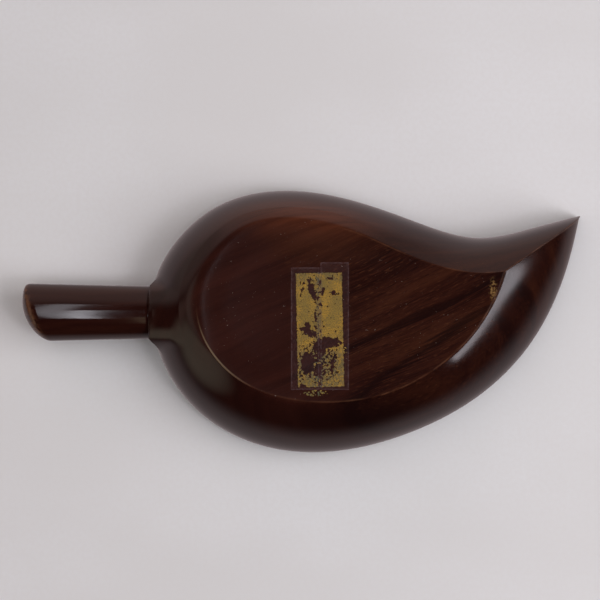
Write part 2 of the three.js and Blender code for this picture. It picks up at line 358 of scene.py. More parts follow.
def wear_crease(rings, crease, crisp):
    """Rounds the foot's edge: by a hair where it is crisp, and widely where it is worn."""
    worn = rings.copy()
    soften(rings, crease - CRISP_RINGS[0], crease + CRISP_RINGS[1], CRISP_PASSES)
    soften(worn, crease - WORN_RINGS[0], crease + WORN_RINGS[1], WORN_PASSES)
    keen = smooth_step(KEEN_FROM, KEEN_TO, crisp)
    return rings * keen + worn * (1 - keen)


def grow_neck(wall):
    """Pulls the wall out to the stem, with a fillet round the joint and a flat ramp under it."""
    from_axis = np.hypot(wall[..., 1] - STEM_Y, wall[..., 2] - STEM_Z)
    pull = (1 - np.clip((from_axis - STEM_RADIUS) / NECK_FILLET, 0, 1)) ** NECK_POWER
    pull *= wall[..., 0] < LEAF_CENTRE[0]
    wall[..., 0] += pull * (JOINT_X - wall[..., 0])
    x, y, z = np.moveaxis(wall, -1, 0)
    sides = ((y - RAMP_Y) / RAMP_HALF_WIDTH) ** 4
    ramp = STEM_Z - STEM_RADIUS - RAMP_SLOPE * (x - JOINT_X) + sides
    near = smooth_step(JOINT_X + RAMP_LENGTH, JOINT_X + RAMP_FULL * RAMP_LENGTH, x) * (z < STEM_Z)
    wall[..., 2] += near * (soft_min(z, ramp, RAMP_BLEND) - z)


def build_leaf():
    """The carved leaf, as rings from the middle of the foot over the rim to the floor."""
    outline = Outline()
    under = foot_rings(outline)
    wall = wall_rings(outline)
    crease = len(under)
    outer_end = crease + len(wall)
    rings = np.array(under + wall + rim_rings(outline) + hollow_rings(outline))
    rings = wear_crease(rings, crease, outline.crisp)
    grow_neck(rings[crease:outer_end + RIM_RINGS // 2])
    points, faces = skin_rings(list(rings))
    leaf = mesh_from("carved_leaf", points, faces)

    count = len(rings)
    ring_number = np.repeat(np.arange(count), AROUND)
    from_keel = np.minimum(np.arange(AROUND), AROUND - np.arange(AROUND))
    keel = np.exp(-(np.tile(from_keel, count) / KEEL_POINTS) ** 2)
    keel *= (ring_number > crease) & (ring_number < outer_end)
    foot_edge = np.exp(-((ring_number - crease) / EDGE_RINGS) ** 2)
    foot_edge *= np.tile(outline.crisp[:, 0], count)
    add_attribute(leaf, "keel", np.append(keel, [0, 0]))
    add_attribute(leaf, "foot_edge", np.append(foot_edge, [0, 0]))
    normals = np.empty(len(leaf.data.vertices) * 3)
    leaf.data.vertices.foreach_get("normal", normals)
    add_attribute(leaf, "foot", smooth_step(FOOT_TILTED, FOOT_LEVEL, -normals[2::3]))
    return leaf


# ------------------------------------------------------------------ stem

def stem_radius(x):
    share = np.clip((JOINT_X - x) / (JOINT_X - STEM_END_X), 0, 1)
    return STEM_RADIUS + (STEM_END_RADIUS - STEM_RADIUS) * share**STEM_FLARE_POWER


def on_end_ball(y, z):
    """The x of the ball that rounds the stem's free end."""
    across = BALL_RADIUS**2 - (y - BALL_CENTRE[1]) ** 2 - (z - STEM_Z) ** 2
    return BALL_CENTRE[0] - np.sqrt(np.maximum(across, 0))


def build_stem():
    """The flared round handle, with an oblique rounded end and a fine chamfer at the joint."""
    turn = np.arange(STEM_SIDES) / STEM_SIDES * 2 * math.pi
    side = np.stack([np.sin(turn), np.cos(turn)], 1)

    def ring(x, radius):
        yz = side * np.reshape(radius, (-1, 1)) + [STEM_Y, STEM_Z]
        return np.hstack([np.broadcast_to(np.reshape(x, (-1, 1)), (STEM_SIDES, 1)), yz])

    edge_x = np.full(STEM_SIDES, STEM_END_X * END_FIRST_GUESS)
    for _ in range(END_STEPS):
        edge = side * stem_radius(edge_x)[:, None] + [STEM_Y, STEM_Z]
        edge_x = (edge_x + on_end_ball(edge[:, 0], edge[:, 1])) / 2
    rings = [ring(JOINT_X - JOINT_SEAM, STEM_RADIUS * share) for share in JOINT_SHARES]
    shaft_x = JOINT_X - JOINT_CHAMFER
    for share in np.linspace(0, 1, SHAFT_RINGS) ** SHAFT_CROWDING:
        x = shaft_x + (edge_x - shaft_x) * share
        rings.append(ring(x, stem_radius(x)))
    corner = len(rings)
    for share in np.linspace(1, END_MIDDLE, END_RINGS)[1:]:
        end = ring(edge_x, stem_radius(edge_x) * share)
        end[:, 0] = on_end_ball(end[:, 1], end[:, 2])
        rings.append(end)
    rings = np.array(rings)
    soften(rings, corner - END_ROUNDING[0], corner + END_ROUNDING[0], END_ROUNDING[1])
    points, faces = skin_rings(list(rings))
    stem = mesh_from("turned_stem", points, faces)
    number = np.repeat(np.arange(len(rings)), STEM_SIDES)
    add_attribute(stem, "end_grain", np.append((number >= corner).astype(float), [0, 1]))
    end_edge = np.exp(-((number - corner) / END_EDGE_RINGS) ** 2)
    add_attribute(stem, "end_edge", np.append(end_edge, [0, 0]))
    return stem


# ------------------------------------------------------------------ label and tape

def trace_squares(sheet, values, xs, ys, point_at):
    """Adds faces that cover the part of a grid where its values are above 0."""
    made = {}

    def corner(key, x, y):
        if key not in made:
            made[key] = sheet.verts.new(point_at(x, y))
        return made[key]

    for row in range(len(ys) - 1):
        for column in range(len(xs) - 1):
            around = [(column, row), (column, row + 1), (column + 1, row + 1), (column + 1, row)]
            outline = []
            for here, there in zip(around, around[1:] + around[:1]):
                a, b = values[here[1]][here[0]], values[there[1]][there[0]]
                if a > 0:
                    outline.append(corner(here, xs[here[0]], ys[here[1]]))
                if (a > 0) != (b > 0):
                    share = min(max(a / (a - b), TRACE_MARGIN), 1 - TRACE_MARGIN)
                    x = xs[here[0]] + (xs[there[0]] - xs[here[0]]) * share
                    y = ys[here[1]] + (ys[there[1]] - ys[here[1]]) * share
                    outline.append(corner(tuple(sorted((here, there))), x, y))
            if len(outline) > 2:
                sheet.faces.new(outline)


def contour_sheet(name, field, low, high, step, surface, lift, thick):
    """A thin sheet covering the places where field(x, y) is above 0, laid under a surface."""
    xs = np.linspace(low[0], high[0], int(round((high[0] - low[0]) / step)) + 1)
    ys = np.linspace(low[1], high[1], int(round((high[1] - low[1]) / step)) + 1)
    values = [[field(x, y) for x in xs] for y in ys]
    sheet = bmesh.new()
    trace_squares(sheet, values, xs, ys, lambda x, y: place(x, y, surface(x, y) - lift))
    below = bmesh.ops.extrude_face_region(sheet, geom=list(sheet.faces))
    moved = [item for item in below["geom"] if isinstance(item, bmesh.types.BMVert)]
    bmesh.ops.translate(sheet, vec=(0, 0, -thick * MM), verts=moved)
    bmesh.ops.recalc_face_normals(sheet, faces=list(sheet.faces))
    mesh = bpy.data.meshes.new(name)
    sheet.to_mesh(mesh)
    sheet.free()
    obj = bpy.data.objects.new(name, mesh)
    bpy.context.scene.collection.objects.link(obj)
    return obj


def foot_surface(leaf):
    """A function that gives the height of the leaf's underside over a point of the drawing."""
    tree = BVHTree.FromObject(leaf, bpy.context.evaluated_depsgraph_get())

    def height(x, y):
        hit = tree.ray_cast(place(x, y, PROBE_Z), Vector((0, 0, 1)))[0]
        return hit.z / MM if hit else FOOT_HOLLOW

    return height


# Places where the label's paper is lost: middle, half sizes and turn, from the label's middle.
LABEL_LOSSES = [
    (-3.0, -16.9, 1.5, 5.3, -14), (-6.9, -17.0, 0.5, 2.8, 18), (1.3, -15.7, 0.7, 1.6, 12),
    (6.2, -15.1, 1.5, 1.0, 5), (4.4, -21.2, 1.7, 0.6, -8), (0.4, -19.3, 0.8, 0.6, 0),
    (0.6, -10.2, 0.9, 0.6, 10), (-1.8, -4.7, 0.5, 2.9, 0), (-1.8, -1.2, 0.6, 0.4, 0),
    (-4.9, 0.8, 4.3, 1.5, 24), (-5.2, -1.6, 1.4, 1.9, -10), (2.6, 5.4, 6.3, 2.3, -3),
    (-0.6, 7.8, 2.6, 2.0, 20), (-5.3, 13.6, 2.7, 4.9, 4), (-1.0, 16.4, 1.8, 2.3, 0),
    (5.1, 14.0, 0.8, 4.4, 10), (-1.0, 23.0, 0.7, 0.5, 0), (-7.4, 22.9, 1.4, 1.0, 0),
]
LABEL_FLAKES = [(-2.3, 25.9, 5.0, 1.3, 0), (10.2, 8.6, 1.2, 1.5, -30)]
# Levels of the ragged noise that paper is lost above, and that the flakes are left above.
LOSS_LEVEL = 0.12
CRUMB_LEVEL = 0.50
FLAKE_LEVEL = 0.08


def inside_ellipse(x, y, spot):
    """Above 0 inside the ellipse, 1 at its middle."""
    middle_x, middle_y, half_x, half_y, turn = spot
    c, s = math.cos(math.radians(turn)), math.sin(math.radians(turn))
    across = ((x - middle_x) * c + (y - middle_y) * s) / half_x
    down = ((y - middle_y) * c - (x - middle_x) * s) / half_y
    return 1 - math.hypot(across, down)


def ragged(x, y, scale, seed):
    """Noise from -1 to 1 that ragged edges follow."""
    return noise.noise(Vector((x * scale, y * scale, seed)))


def hill(low, high, soft, value):
    """1 between low and high, falling to 0 over the soft distance outside them."""
    return min(max(1 + min(value - low, high - value) / soft, 0), 1)


def paper_left(x, y):
    """Above 0 where the gilded paper is still on the foot, in the label's own millimetres."""
    half_x, half_y = LABEL_HALF
    edge = min(half_x - abs(x), half_y - abs(y)) + 0.35 * ragged(x, y, 1.1, 3)
    loss = max(inside_ellipse(x, y, spot) * min(spot[2], spot[3]) for spot in LABEL_LOSSES)
    loss += 0.9 * ragged(x, y, 0.8, 7) + 0.7 * ragged(x, y, 1.9, 11) + 0.4 * ragged(x, y, 3.6, 13)
    loss -= LOSS_LEVEL
    crumbs = 0.9 * ragged(x, y, 1.0, 17) + 0.6 * ragged(x, y, 2.3, 19)
    along_seam = 0.28 * hill(-1.2, 0.2, 1.4, x)
    rubbed_end = 0.47 * hill(9, 18, 5, y) * hill(-8, 5, 4, x)
    crumbs -= CRUMB_LEVEL - along_seam - rubbed_end
    kept = min(edge, -loss, -crumbs)
    flake = max(inside_ellipse(x, y, spot) for spot in LABEL_FLAKES)
    flake = min(flake, ragged(x, y, 1.3, 23) + 0.25 * ragged(x, y, 3.1, 29) - FLAKE_LEVEL)
    return max(kept, flake)


def build_label(surface):
    """The torn gilt paper under the foot."""
    cos_tilt, sin_tilt = math.cos(LABEL_TILT), math.sin(LABEL_TILT)

    def field(x, y):
        from_x, from_y = x - LABEL_CENTRE[0], y - LABEL_CENTRE[1]
        return paper_left(from_x * cos_tilt + from_y * sin_tilt, from_y * cos_tilt - from_x * sin_tilt)

    low = (LABEL_CENTRE[0] + LABEL_LOW[0], LABEL_CENTRE[1] + LABEL_LOW[1])
    high = (LABEL_CENTRE[0] + LABEL_HIGH[0], LABEL_CENTRE[1] + LABEL_HIGH[1])
    return contour_sheet("torn_label", field, low, high, LABEL_STEP, surface, LABEL_LIFT, LABEL_THICK)


def build_tape(name, box_low, box_high, surface):
    """One clear strip over the label, with finely cut ends."""
    low = (box_low[0] / MM - DRAWING_X, box_low[1] / MM - DRAWING_Y)
    high = (box_high[0] / MM - DRAWING_X, box_high[1] / MM - DRAWING_Y)

    def edge_distance(x, y):
        tooth = TOOTH_DEPTH * abs((x / TOOTH_WIDTH) % 1 - 0.5)
        inside = min(x - low[0], high[0] - x, y - low[1] - tooth, high[1] - y - tooth)
        return inside - TAPE_INSET

    tape = contour_sheet(name, edge_distance, low, high, TAPE_STEP, surface, TAPE_LIFT, TAPE_THICK)
    edges = [
        edge_distance(v.co.x / MM - DRAWING_X, v.co.y / MM - DRAWING_Y) for v in tape.data.vertices
    ]
    add_attribute(tape, "edge", np.clip(1 - np.array(edges) / TAPE_EDGE, 0, 1))
    return tape


leaf = build_leaf()
stem = build_stem()
surface = foot_surface(leaf)
label = build_label(surface)
tapes = [
    build_tape("clear_" + node, *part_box(node), surface)
    for node in TAPE_NODES
]

# ------------------------------------------------------------------ node tools

class Nodes:
    """Short calls that build one node tree."""

    def __init__(self, tree):
        self.tree = tree
        self.links = tree.links

    def new(self, kind, **settings):
        node = self.tree.nodes.new(kind)
        for name, value in settings.items():
            setattr(node, name, value)
        return node

    def put(self, socket, value):
        """Links a socket's output, or sets a plain number or vector on the input."""
        if isinstance(value, bpy.types.NodeSocket):
            self.links.new(value, socket)
        else:
            socket.default_value = value

    def math(self, operation, a, b=0.0, c=0.0):
        node = self.new("ShaderNodeMath", operation=operation)
        for socket, value in zip(node.inputs, (a, b, c)):
            self.put(socket, value)
        return node.outputs[0]

    def times(self, a, b):
        return self.math("MULTIPLY", a, b)

    def vector(self, operation, a, b=(0, 0, 0)):
        node = self.new("ShaderNodeVectorMath", operation=operation)
        self.put(node.inputs[0], a)
        self.put(node.inputs[1], b)
        return node.outputs["Value" if operation in ("LENGTH", "DOT_PRODUCT") else "Vector"]

    def join(self, x, y, z):
        node = self.new("ShaderNodeCombineXYZ")
        for socket, value in zip(node.inputs, (x, y, z)):
            self.put(socket, value)
        return node.outputs[0]

    def split(self, vector):
        node = self.new("ShaderNodeSeparateXYZ")
        self.put(node.inputs[0], vector)
        return node.outputs

    def noise(self, vector, scale, detail=2.0, seed=0.0):
        """Noise from 0 to 1, with its scale given along x, y and z."""
        stretched = self.vector("MULTIPLY", vector, scale)
        node = self.new("ShaderNodeTexNoise")
        self.put(node.inputs["Vector"], self.vector("ADD", stretched, (seed, seed * 1.7, -seed)))
        node.inputs["Scale"].default_value = 1
        node.inputs["Detail"].default_value = detail
        return node.outputs["Fac"]

    def spread(self, value, low, high, to_low=0.0, to_high=1.0):
        """A smooth step: to_low where the value is under low, to_high where it is over high."""
        node = self.new("ShaderNodeMapRange", interpolation_type="SMOOTHSTEP")
        for name, number in zip(("Value", "From Min", "From Max", "To Min", "To Max"),
                                (value, low, high, to_low, to_high)):
            self.put(node.inputs[name], number)
        return node.outputs[0]

    def mix(self, share, a, b):
        """Colour a where the share is 0, and colour b where it is 1."""
        node = self.new("ShaderNodeMix", data_type="RGBA")
        self.put(node.inputs[0], share)
        for socket, color in zip(node.inputs[6:8], (a, b)):
            self.put(socket, color if isinstance(color, bpy.types.NodeSocket) else (*color, 1))
        return node.outputs[2]

    def ramp(self, value, *stops):
        node = self.new("ShaderNodeValToRGB")
        elements = node.color_ramp.elements
        while len(elements) < len(stops):
            elements.new(0.5)
        for element, (position, color) in zip(elements, stops):
            element.position = position
            element.color = (*color, 1)
        self.put(node.inputs[0], value)
        return node.outputs[0]

    def attribute(self, name):
        return self.new("ShaderNodeAttribute", attribute_name=name).outputs["Fac"]

    def millimetres(self):
        """The surface point in the drawing's millimetres."""
        metres = self.new("ShaderNodeTexCoord").outputs["Object"]
        scaled = self.vector("MULTIPLY", metres, (1 / MM, 1 / MM, 1 / MM))
        return self.vector("SUBTRACT", scaled, (DRAWING_X, DRAWING_Y, 0))

    def spot(self, point, middle, half):
        """1 at the middle of an ellipsoid, falling smoothly to 0 at its skin."""
        away = self.vector("DIVIDE", self.vector("SUBTRACT", point, middle), half)
        return self.spread(self.vector("LENGTH", away), 1.0, 0.0)

    def bump(self, height, strength, distance):
        node = self.new("ShaderNodeBump")
        node.inputs["Strength"].default_value = strength
        node.inputs["Distance"].default_value = distance * MM
        self.put(node.inputs["Height"], height)
        return node.outputs[0]


def new_material(name):
    material = bpy.data.materials.new(name)
    material.use_nodes = True
    shader = material.node_tree.nodes["Principled BSDF"]
    return material, Nodes(material.node_tree), shader.inputs


# ------------------------------------------------------------------ wood

CALM_DARK = (0.0200, 0.0047, 0.0032)
CALM_LIGHT = (0.0315, 0.0076, 0.0050)
FIGURE_DARK = (0.0072, 0.0020, 0.0018)
FIGURE_MID = (0.0160, 0.0036, 0.0023)
FIGURE_RED = (0.0250, 0.0061, 0.0033)
FIGURE_LIGHT = (0.0425, 0.0120, 0.0052)
FIBRE_LIGHT = (0.0350, 0.0094, 0.0052)
FIBRE_DARK = (0.0108, 0.0026, 0.0021)
PORE_DARK = (0.0054, 0.0017, 0.0017)
# Painted light: the lighter, redder tone of the wall on the -Y side
PAINTED_LIGHT_WALL_TONE = (0.1000, 0.0270, 0.0120)
FLECK = (0.085, 0.028, 0.012)
END_LIGHT = (0.110, 0.044, 0.021)
WORN_EDGE = (0.150, 0.0620, 0.0300)
# Painted highlight: the pale line on the crease at the lower left
PAINTED_CREASE_HIGHLIGHT = (0.150, 0.1050, 0.0650)
WORN_GOLD = (0.230, 0.1300, 0.0450)
DUST = (0.30, 0.24, 0.21)
DOWEL_DARK = (0.42, 0.27, 0.14)
DOWEL_LIGHT = (0.56, 0.39, 0.22)
GRAIN_TURN = math.radians(24)   # from the stem's axis, seen from below
GRAIN_DIP = 1.3                 # how fast the growth rings slope, across over up
GRAIN_WANDER = 9
STEM_GRAIN_TURN = math.radians(4)
STEM_GRAIN_DIP = 0.6
STEM_FIGURE = 0.35              # 0 is calm wood and 1 is lively
STEM_DARKENING = 0.45
# Painted shade: how far the outer wall, facing neither down nor up, is darkened
WALL_PAINTED_SHADE = 0.35
STREAK_FEATHER = 9              # how far the fibres fray the dark streaks
PORE_DEPTH = 0.6                # over the height of the fibres

# Patches of the leaf coloured apart from the rest of it, middle and half sizes: painted shade, a
# sun-bleached patch, painted light, a painted highlight and rubbed gilding.
# Painted shade: a darker patch on the wall on the +Y side
PAINTED_SHADE_WALL = ((28, 40, 7), (50, 15, 16))
SUNNED_FOOT = ((8, -32, 0), (34, 14, 8))
# Painted light: a lighter patch on the wall on the -Y side
PAINTED_LIGHT_WALL = ((5, -44, 5), (50, 15, 24))
# Painted highlight: where the crease at the lower left gets a pale line
CREASE_HIGHLIGHT_PATCH = ((-35, 13, 0), (20, 26, 8))
RUBBED_FOOT = ((79.3, -13, 0), (2.3, 6.5, 5.0))


def grain_space(nodes, point, turn, dip):
    """Coordinates in the wood: along the grain, across the growth rings, and along the rings."""
    x, y, z = nodes.split(point)
    c, s = math.cos(turn), math.sin(turn)
    along = nodes.math("SUBTRACT", nodes.times(x, c), nodes.times(y, s))
    across = nodes.math("ADD", nodes.times(x, s), nodes.times(y, c))
    across = nodes.math("SUBTRACT", across, nodes.times(z, dip))
    plain = nodes.join(along, across, z)
    wander = nodes.noise(plain, (0.014, 0.03, 0.03), detail=2, seed=4)
    shift = nodes.times(nodes.math("SUBTRACT", wander, 0.5), GRAIN_WANDER)
    return along, nodes.math("ADD", across, shift), z


def wood_color(nodes, along, across, z, figure):
    """Red-brown heartwood: ring bands, fine fibres and dark open pores."""
    grain = nodes.join(along, across, z)
    bands = nodes.noise(grain, (0.008, 0.17, 0.06), detail=4, seed=1)
    fibres = nodes.noise(grain, (0.05, 1.7, 1.2), detail=4, seed=8)
    pores = nodes.noise(grain, (0.16, 3.0, 2.6), detail=2, seed=15)
    calm = nodes.mix(nodes.spread(bands, 0.3, 0.72), CALM_DARK, CALM_LIGHT)
    lively = nodes.ramp(bands, (0.30, FIGURE_DARK), (0.46, FIGURE_MID), (0.56, FIGURE_RED),
                        (0.70, FIGURE_LIGHT))
    color = nodes.mix(figure, calm, lively)
    lift = nodes.spread(figure, 0.0, 1.0, 0.22, 0.65)
    color = nodes.mix(nodes.times(nodes.spread(fibres, 0.42, 0.75), lift), color, FIBRE_LIGHT)
    color = nodes.mix(nodes.times(nodes.spread(fibres, 0.48, 0.22), lift), color, FIBRE_DARK)
    color = nodes.mix(nodes.times(nodes.spread(pores, 0.56, 0.70), lift), color, PORE_DARK)
    flecks = nodes.noise(grain, (0.30, 2.2, 2.0), detail=3, seed=27)
    glint = nodes.times(nodes.spread(flecks, 0.56, 0.72), nodes.times(lift, lift))
    color = nodes.mix(glint, color, FLECK)
    return color, fibres, pores


def dark_streak(nodes, across, line, half_width, fibres):
    """A dark band along a line across the grain, with edges feathered by the fibres."""
    feather = nodes.times(nodes.math("SUBTRACT", fibres, 0.5), STREAK_FEATHER)
    away = nodes.math("ABSOLUTE", nodes.math("SUBTRACT", nodes.math("ADD", across, feather), line))
    return nodes.spread(away, half_width, half_width * 0.1)


def foot_streaks(nodes, along, across, fibres):
    """The two dark streaks that run over the foot, a little askew to the grain."""
    upper_line = nodes.spread(along, -30, 10, 19.5, 17.0)
    lower_line = nodes.spread(along, 70, -25, 27.5, 42.0)
    upper = dark_streak(nodes, across, upper_line, 2.6, fibres)
    lower = dark_streak(nodes, across, lower_line, 2.9, fibres)
    return nodes.times(nodes.math("MAXIMUM", upper, lower), nodes.spread(along, -28, 6, 0.0, 0.8))


def shade_light_and_sun_patches(nodes, point, grain, color):
    """The wood's broad changes: painted shade darkening one side's wall, a bleached patch on the foot,
    and painted light on the other side's wall.
    """
    bands = nodes.noise(grain, (0.012, 0.35, 0.25), detail=4, seed=18)
    # Painted shade on the wall on the +Y side
    color = nodes.mix(nodes.times(nodes.spot(point, *PAINTED_SHADE_WALL), 0.85), color, FIGURE_DARK)
    color = nodes.mix(nodes.times(nodes.spot(point, *SUNNED_FOOT), 0.55), color, FIGURE_LIGHT)
    # Painted light on the wall on the -Y side, broken up by the grain's bands
    painted_light = nodes.times(nodes.spot(point, *PAINTED_LIGHT_WALL), nodes.spread(bands, 0.3, 0.65, 0.4, 0.8))
    return nodes.mix(painted_light, color, PAINTED_LIGHT_WALL_TONE)


def edge_wear(nodes, point):
    """How worn the wood is, along the crease round the foot and the ridge at the tip."""
    patches = nodes.noise(point, (0.12, 0.12, 0.12), detail=4, seed=5)
    edge = nodes.times(nodes.attribute("foot_edge"), nodes.spread(patches, 0.36, 0.66, 0.15))
    keel = nodes.times(nodes.attribute("keel"), nodes.spread(patches, 0.35, 0.65, 0.1))
    return nodes.math("MAXIMUM", nodes.times(edge, 0.45), nodes.times(keel, 0.5))


def highlight_rub_and_dust(nodes, point, foot, color):
    """A painted highlight as a pale line on the crease, gilding rubbed off near the tip, and dust
    specks.
    """
    # Painted highlight: a pale line along the crease at the lower left
    line = nodes.spread(nodes.attribute("foot_edge"), 0.05, 0.5)
    color = nodes.mix(nodes.times(nodes.spot(point, *CREASE_HIGHLIGHT_PATCH), line), color, PAINTED_CREASE_HIGHLIGHT)
    speckle = nodes.noise(point, (1.1, 1.1, 1.1), detail=3, seed=2)
    rubbed = nodes.times(nodes.spot(point, *RUBBED_FOOT), nodes.spread(speckle, 0.44, 0.60))
    color = nodes.mix(rubbed, color, WORN_GOLD)
    specks = nodes.spread(nodes.noise(point, (1.6, 1.6, 1.6), detail=1, seed=31), 0.765, 0.80)
    dusty = nodes.noise(point, (0.09, 0.09, 0.09), detail=1, seed=12)
    dusty = nodes.spread(dusty, 0.45, 0.62, 0.12, 0.9)
    return nodes.mix(nodes.times(nodes.times(specks, dusty), foot), color, DUST)


def wood_relief(nodes, shader, fibres, pores, strength, distance):
    relief = nodes.math("SUBTRACT", fibres, nodes.times(pores, PORE_DEPTH))
    nodes.put(shader["Normal"], nodes.bump(relief, strength, distance))


def leaf_wood():
    """Polished rosewood with a satin foot: calm near the stem, and figured towards the tip."""
    material, nodes, shader = new_material("leaf_rosewood")
    point = nodes.millimetres()
    along, across, z = grain_space(nodes, point, GRAIN_TURN, GRAIN_DIP)
    facing = nodes.split(nodes.new("ShaderNodeNewGeometry").outputs["Normal"])[2]
    upper_side = nodes.spread(facing, 0.05, 0.5)
    foot = nodes.attribute("foot")

    figure = nodes.math("MAXIMUM", nodes.spread(along, -18, 26), upper_side)
    color, fibres, pores = wood_color(nodes, along, across, z, figure)
    color = nodes.mix(foot_streaks(nodes, along, across, fibres), color, FIGURE_DARK)
    # Painted shade: the outer wall is darkened, the foot and the upper side are not
    free_of_wall_shade = nodes.math("MAXIMUM", foot, upper_side)
    color = nodes.mix(nodes.spread(free_of_wall_shade, 0.0, 1.0, WALL_PAINTED_SHADE, 0.0), color, FIBRE_DARK)
    color = shade_light_and_sun_patches(nodes, point, nodes.join(along, across, z), color)
    worn = edge_wear(nodes, point)
    color = nodes.mix(worn, color, WORN_EDGE)
    nodes.put(shader["Base Color"], highlight_rub_and_dust(nodes, point, foot, color))

    haze = nodes.noise(point, (0.06, 0.06, 0.06), detail=4, seed=9)
    polish = nodes.spread(haze, 0.3, 0.7, 0.10, 0.13)
    satin = nodes.spread(haze, 0.3, 0.7, 0.22, 0.26)
    off_foot = nodes.math("SUBTRACT", 1.0, foot)
    rough = nodes.math("ADD", nodes.times(satin, foot), nodes.times(polish, off_foot))
    nodes.put(shader["Roughness"], nodes.math("ADD", rough, nodes.times(worn, 0.2)))
    nodes.put(shader["Specular IOR Level"], nodes.spread(foot, 0.0, 1.0, 0.5, 0.09))
    wood_relief(nodes, shader, fibres, pores, 0.2, 0.02)
    return material


def stem_wood():
    """Darker and glossier rosewood, with pale end grain and a worn line on the end's edge."""
    material, nodes, shader = new_material("stem_rosewood")
    point = nodes.millimetres()
    along, across, z = grain_space(nodes, point, STEM_GRAIN_TURN, STEM_GRAIN_DIP)
    color, fibres, pores = wood_color(nodes, along, across, z, STEM_FIGURE)
    color = nodes.mix(STEM_DARKENING, color, FIBRE_DARK)
    rings = nodes.noise(point, (0.2, 1.1, 0.35), detail=2, seed=6)
    end = nodes.ramp(rings, (0.36, FIGURE_RED), (0.5, FIGURE_LIGHT), (0.66, END_LIGHT))
    color = nodes.mix(nodes.attribute("end_grain"), color, end)
    patches = nodes.noise(point, (0.5, 0.5, 0.5), detail=3, seed=5)
    edge = nodes.times(nodes.attribute("end_edge"), nodes.spread(patches, 0.4, 0.6, 0.1, 0.8))
    nodes.put(shader["Base Color"], nodes.mix(edge, color, WORN_EDGE))
    haze = nodes.noise(point, (0.05, 0.2, 0.2), detail=3, seed=9)
    nodes.put(shader["Roughness"], nodes.spread(haze, 0.3, 0.7, 0.055, 0.08))
    shader["Specular IOR Level"].default_value = 0.42
    wood_relief(nodes, shader, fibres, pores, 0.25, 0.03)
    return material


def dowel_wood():
    material, nodes, shader = new_material("pale_dowel")
    grain = nodes.noise(nodes.millimetres(), (0.06, 1.5, 1.5), detail=3, seed=3)
    nodes.put(shader["Base Color"], nodes.ramp(grain, (0.3, DOWEL_DARK), (0.7, DOWEL_LIGHT)))
    shader["Roughness"].default_value = 0.6
    return material


# ------------------------------------------------------------------ paper and film

GOLD_DULL = (0.26, 0.162, 0.010)
GOLD_BRIGHT = (0.40, 0.222, 0.006)
GOLD_FLECK = (0.09, 0.062, 0.012)
PAPER_DIRT = (0.050, 0.055, 0.030)
SEAM_DIRT_X = LABEL_CENTRE[0] - 0.6       # just beside the gap between the two strips of tape
FILM_DARK = (0.11, 0.055, 0.060)
FILM_LIGHT = (0.20, 0.13, 0.135)
FILM_ALPHA = 0.045
FILM_EDGE_ALPHA = 0.17          # what a full edge line adds to it


def gilt_paper():
    """Dull gold, with dirt along the tape's seam and at the label's two ends."""
    material, nodes, shader = new_material("gilded_paper")
    point = nodes.millimetres()
    fine = nodes.noise(point, (2.4, 2.4, 2.4), detail=3, seed=2)
    broad = nodes.noise(point, (0.16, 0.16, 0.16), detail=2, seed=8)
    grime = nodes.noise(point, (1.2, 0.8, 1.2), detail=4, seed=21)
    gold = nodes.mix(nodes.spread(broad, 0.35, 0.65), GOLD_DULL, GOLD_BRIGHT)
    color = nodes.mix(nodes.spread(fine, 0.40, 0.66, 0.0, 0.85), gold, GOLD_FLECK)
    x, y, _ = nodes.split(point)
    from_seam = nodes.math("ABSOLUTE", nodes.math("SUBTRACT", x, SEAM_DIRT_X))
    seam = nodes.spread(from_seam, 2.2, 0.2, 0.0, 0.5)
    low_part = nodes.spread(y, LABEL_CENTRE[1] + 4, LABEL_CENTRE[1] + 12, 0.0, 0.55)
    top_part = nodes.spread(y, LABEL_CENTRE[1] - 16, LABEL_CENTRE[1] - 22, 0.0, 0.4)
    dirt = nodes.math("ADD", nodes.math("ADD", seam, low_part), nodes.math("ADD", top_part, 0.1))
    dirt = nodes.times(dirt, nodes.spread(grime, 0.38, 0.58, 0.1, 1.0))
    nodes.put(shader["Base Color"], nodes.mix(dirt, color, PAPER_DIRT))
    shader["Roughness"].default_value = 0.5
    nodes.put(shader["Normal"], nodes.bump(fine, 0.3, 0.05))
    return material


def clear_film():
    """Nearly invisible film, with a faint dusty line along its edges."""
    material, nodes, shader = new_material("clear_tape_film")
    dust = nodes.noise(nodes.millimetres(), (1.3, 1.3, 1.3), detail=3, seed=14)
    nodes.put(shader["Base Color"], nodes.mix(nodes.spread(dust, 0.35, 0.65), FILM_DARK, FILM_LIGHT))
    line = nodes.times(nodes.attribute("edge"), nodes.spread(dust, 0.3, 0.6, 0.35, 1.0))
    nodes.put(shader["Alpha"], nodes.math("ADD", nodes.times(line, FILM_EDGE_ALPHA), FILM_ALPHA))
    shader["Roughness"].default_value = 0.22
    shader["Specular IOR Level"].default_value = 0.15
    return material


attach(leaf, "root")
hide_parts("leaf_tray")
leaf.data.materials.append(leaf_wood())

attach(stem, "root")
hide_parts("stem")
stem.data.materials.append(stem_wood())

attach(label, "root")
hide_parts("label")
label.data.materials.append(gilt_paper())

film = clear_film()
for tape, node in zip(tapes, TAPE_NODES):
    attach(tape, "root")
    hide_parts(node)
    tape.data.materials.append(film)

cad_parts["stem_dowel"].material_slots[0].material = dowel_wood()


# ------------------------------------------------------------------ camera, sheets, lights

